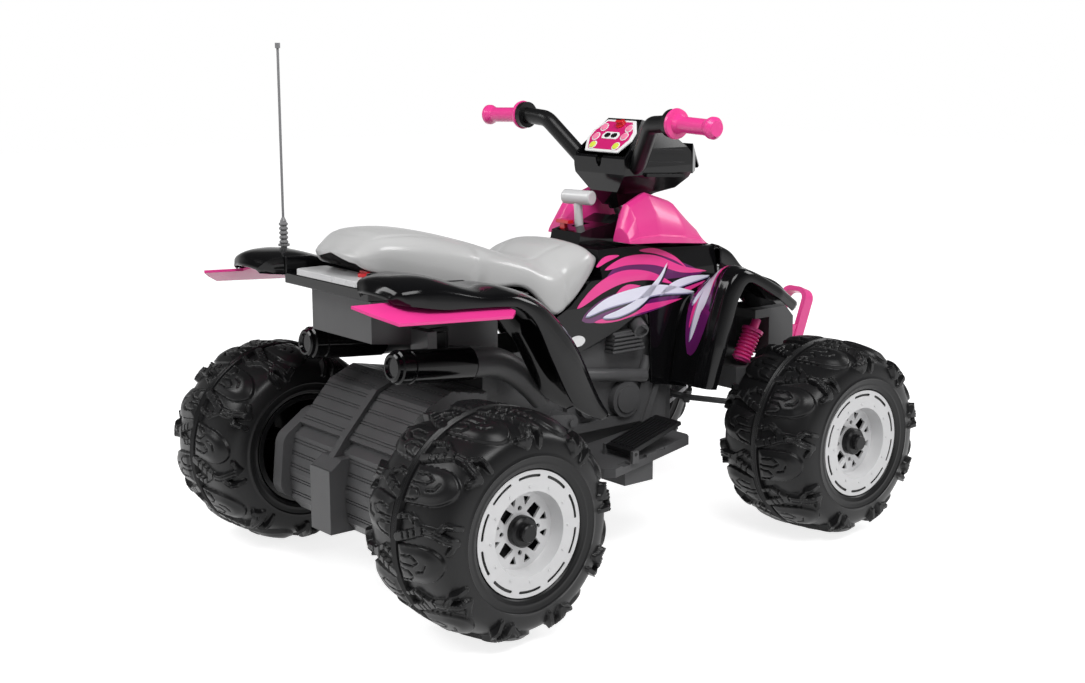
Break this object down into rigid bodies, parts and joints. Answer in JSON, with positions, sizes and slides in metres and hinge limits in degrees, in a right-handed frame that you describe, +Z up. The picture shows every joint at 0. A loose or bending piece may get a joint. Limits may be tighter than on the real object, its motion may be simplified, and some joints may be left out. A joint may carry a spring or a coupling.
{
  "type": "child's ride-on quad bike",
  "caption": "Child's battery ride-on quad: lugged tyres, padded-look seat, linked steering, sprung rear axle, pedal, gear lever, opening seat and push-button panel.",
  "frame": {"origin": "on the ground, below the middle of the overall box", "axes": "+Z up, the quad's nose along -Y, its right side along -X"},
  "size_m": [0.761, 1.128, 0.8],
  "materials": {
    "tyre_black": "moulded",
    "rim_silver": "satin silver",
    "satin_black": "satin",
    "gloss_black": "gloss",
    "pink": "gloss",
    "panel_magenta": "printed gloss",
    "dark_grey": "satin",
    "battery_black": "matte",
    "antenna_metal": "satin",
    "steel": "brushed",
    "light_grey": "gloss",
    "seat_grey": "pearl",
    "red": "gloss",
    "button_lime": "gloss",
    "button_pink": "gloss"
  },
  "bodies": {
    "body": {"chassis_frame": "dark_grey", "battery": "battery_black", "body_shell": "gloss_black", "engine_panel_left": "dark_grey", "engine_panel_right": "dark_grey", "tank_cover": "pink", "gear_gate": "gloss_black", "rear_fender": "gloss_black", "rear_deck": "light_grey", "rear_flap_left": "pink", "rear_flap_right": "pink", "front_fender": "gloss_black", "front_shocks": "pink", "bumper": "pink", "footboard": "dark_grey", "muffler_left": "gloss_black", "muffler_right": "gloss_black", "exhaust_pipes": "dark_grey", "front_axle_beam": "dark_grey", "antenna": "antenna_metal", "rear_spring": "steel"},
    "steering": {"steering_column": "steel", "steering_head": "gloss_black", "handlebar": "satin_black", "grip_left": "pink", "grip_right": "pink", "instrument_panel": "panel_magenta", "windshield": "gloss_black"},
    "tie": {"tie_rod": "dark_grey"},
    "knuckle_l": {"knuckle_left": "dark_grey"},
    "knuckle_r": {"knuckle_right": "dark_grey"},
    "swing": {"swing_arm": "dark_grey", "rear_axle": "steel", "rear_axle_cover": "dark_grey", "gearmotors": "dark_grey", "tail_box": "dark_grey"},
    "pedal": {"accelerator_pedal": "satin_black"},
    "lever": {"gear_lever": "light_grey"},
    "lock": {"reverse_lock": "red"},
    "saddle": {"seat": "seat_grey"},
    "knob": {"seat_knob": "red"},
    "key": {"key_dial": "red"},
    "wheel_rl": {"tyre_rear_left": "tyre_black", "rim_rear_left": "rim_silver", "hub_cap_rear_left": "satin_black"},
    "wheel_rr": {"tyre_rear_right": "tyre_black", "rim_rear_right": "rim_silver", "hub_cap_rear_right": "satin_black"},
    "wheel_fl": {"tyre_front_left": "tyre_black", "rim_front_left": "rim_silver", "hub_cap_front_left": "satin_black"},
    "wheel_fr": {"tyre_front_right": "tyre_black", "rim_front_right": "rim_silver", "hub_cap_front_right": "satin_black"},
    "button_1": {"panel_button_1": "button_lime"},
    "button_2": {"panel_button_2": "button_lime"},
    "button_3": {"panel_button_3": "button_pink"},
    "button_4": {"panel_button_4": "button_pink"},
    "button_5": {"panel_button_5": "button_pink"},
    "button_6": {"panel_button_6": "button_pink"}
  },
  "joints": [
    {"name": "steer", "type": "hinge", "parent": "body", "child": "steering", "pos_m": [0, -0.09, 0.536], "axis": [0, 0.4384, 0.8988], "range_deg": [-27, 27]},
    {"name": "tie_slide", "type": "slide", "parent": "body", "child": "tie", "axis": [1, 0, 0], "range_m": [-0.0218, 0.0218]},
    {"name": "knuckle_left_turn", "type": "hinge", "parent": "body", "child": "knuckle_l", "pos_m": [0.15, -0.31, 0.16], "axis": [0, 0, 1], "range_deg": [-18.2, 18.2]},
    {"name": "knuckle_right_turn", "type": "hinge", "parent": "body", "child": "knuckle_r", "pos_m": [-0.15, -0.31, 0.16], "axis": [0, 0, 1], "range_deg": [-18.2, 18.2]},
    {"name": "wheel_front_left_spin", "type": "hinge", "parent": "knuckle_l", "child": "wheel_fl", "pos_m": [0.264, -0.31, 0.16], "axis": [1, 0, 0], "continuous": true},
    {"name": "wheel_front_right_spin", "type": "hinge", "parent": "knuckle_r", "child": "wheel_fr", "pos_m": [-0.264, -0.31, 0.16], "axis": [1, 0, 0], "continuous": true},
    {"name": "suspension", "type": "hinge", "parent": "body", "child": "swing", "pos_m": [0, 0.106, 0.214], "axis": [1, 0, 0], "range_deg": [0, 2.5], "stiffness_Nm_per_rad": 500, "springref_deg": -4.58, "deforming": ["rear_spring"]},
    {"name": "wheel_rear_left_spin", "type": "hinge", "parent": "swing", "child": "wheel_rl", "pos_m": [0.284, 0.4, 0.16], "axis": [1, 0, 0], "continuous": true},
    {"name": "wheel_rear_right_spin", "type": "hinge", "parent": "swing", "child": "wheel_rr", "pos_m": [-0.284, 0.4, 0.16], "axis": [1, 0, 0], "continuous": true},
    {"name": "pedal_press", "type": "hinge", "parent": "body", "child": "pedal", "pos_m": [-0.17, 0.052, 0.173], "axis": [1, 0, 0], "range_deg": [0, 8], "stiffness_Nm_per_rad": 3, "springref_deg": -5.73},
    {"name": "gear_shift", "type": "hinge", "parent": "body", "child": "lever", "pos_m": [0.008, -0.015, 0.488], "axis": [1, 0, 0], "range_deg": [-13, 13]},
    {"name": "reverse_lock_slide", "type": "slide", "parent": "body", "child": "lock", "axis": [0, 1, 0], "range_m": [0, 0.008]},
    {"name": "seat_open", "type": "hinge", "parent": "body", "child": "saddle", "pos_m": [0, 0.052, 0.468], "axis": [1, 0, 0], "range_deg": [0, 50]},
    {"name": "seat_knob_turn", "type": "hinge", "parent": "body", "child": "knob", "pos_m": [-0.05, 0.442, 0.47], "axis": [0, 0, 1], "range_deg": [0, 90]},
    {"name": "key_turn", "type": "hinge", "parent": "steering", "child": "key", "pos_m": [-0.006, -0.09292, 0.66707], "axis": [0, 0.7254, 0.6884], "range_deg": [0, 60]},
    {"name": "button_1_press", "type": "slide", "parent": "steering", "child": "button_1", "axis": [0, -0.7254, -0.6884], "range_m": [0, 0.0015], "stiffness_N_per_m": 200, "springref_m": -0.0005},
    {"name": "button_2_press", "type": "slide", "parent": "steering", "child": "button_2", "axis": [0, -0.7254, -0.6884], "range_m": [0, 0.0015], "stiffness_N_per_m": 200, "springref_m": -0.0005},
    {"name": "button_3_press", "type": "slide", "parent": "steering", "child": "button_3", "axis": [0, -0.7254, -0.6884], "range_m": [0, 0.0015], "stiffness_N_per_m": 200, "springref_m": -0.0005},
    {"name": "button_4_press", "type": "slide", "parent": "steering", "child": "button_4", "axis": [0, -0.7254, -0.6884], "range_m": [0, 0.0015], "stiffness_N_per_m": 200, "springref_m": -0.0005},
    {"name": "button_5_press", "type": "slide", "parent": "steering", "child": "button_5", "axis": [0, -0.7254, -0.6884], "range_m": [0, 0.0015], "stiffness_N_per_m": 200, "springref_m": -0.0005},
    {"name": "button_6_press", "type": "slide", "parent": "steering", "child": "button_6", "axis": [0, -0.7254, -0.6884], "range_m": [0, 0.0015], "stiffness_N_per_m": 200, "springref_m": -0.0005}
  ],
  "couplings": [
    {"joint": "tie_slide", "follows": "steer", "m_per_rad": -0.045903},
    {"joint": "knuckle_left_turn", "follows": "steer", "ratio": 0.66667},
    {"joint": "knuckle_right_turn", "follows": "steer", "ratio": 0.66667}
  ]
}
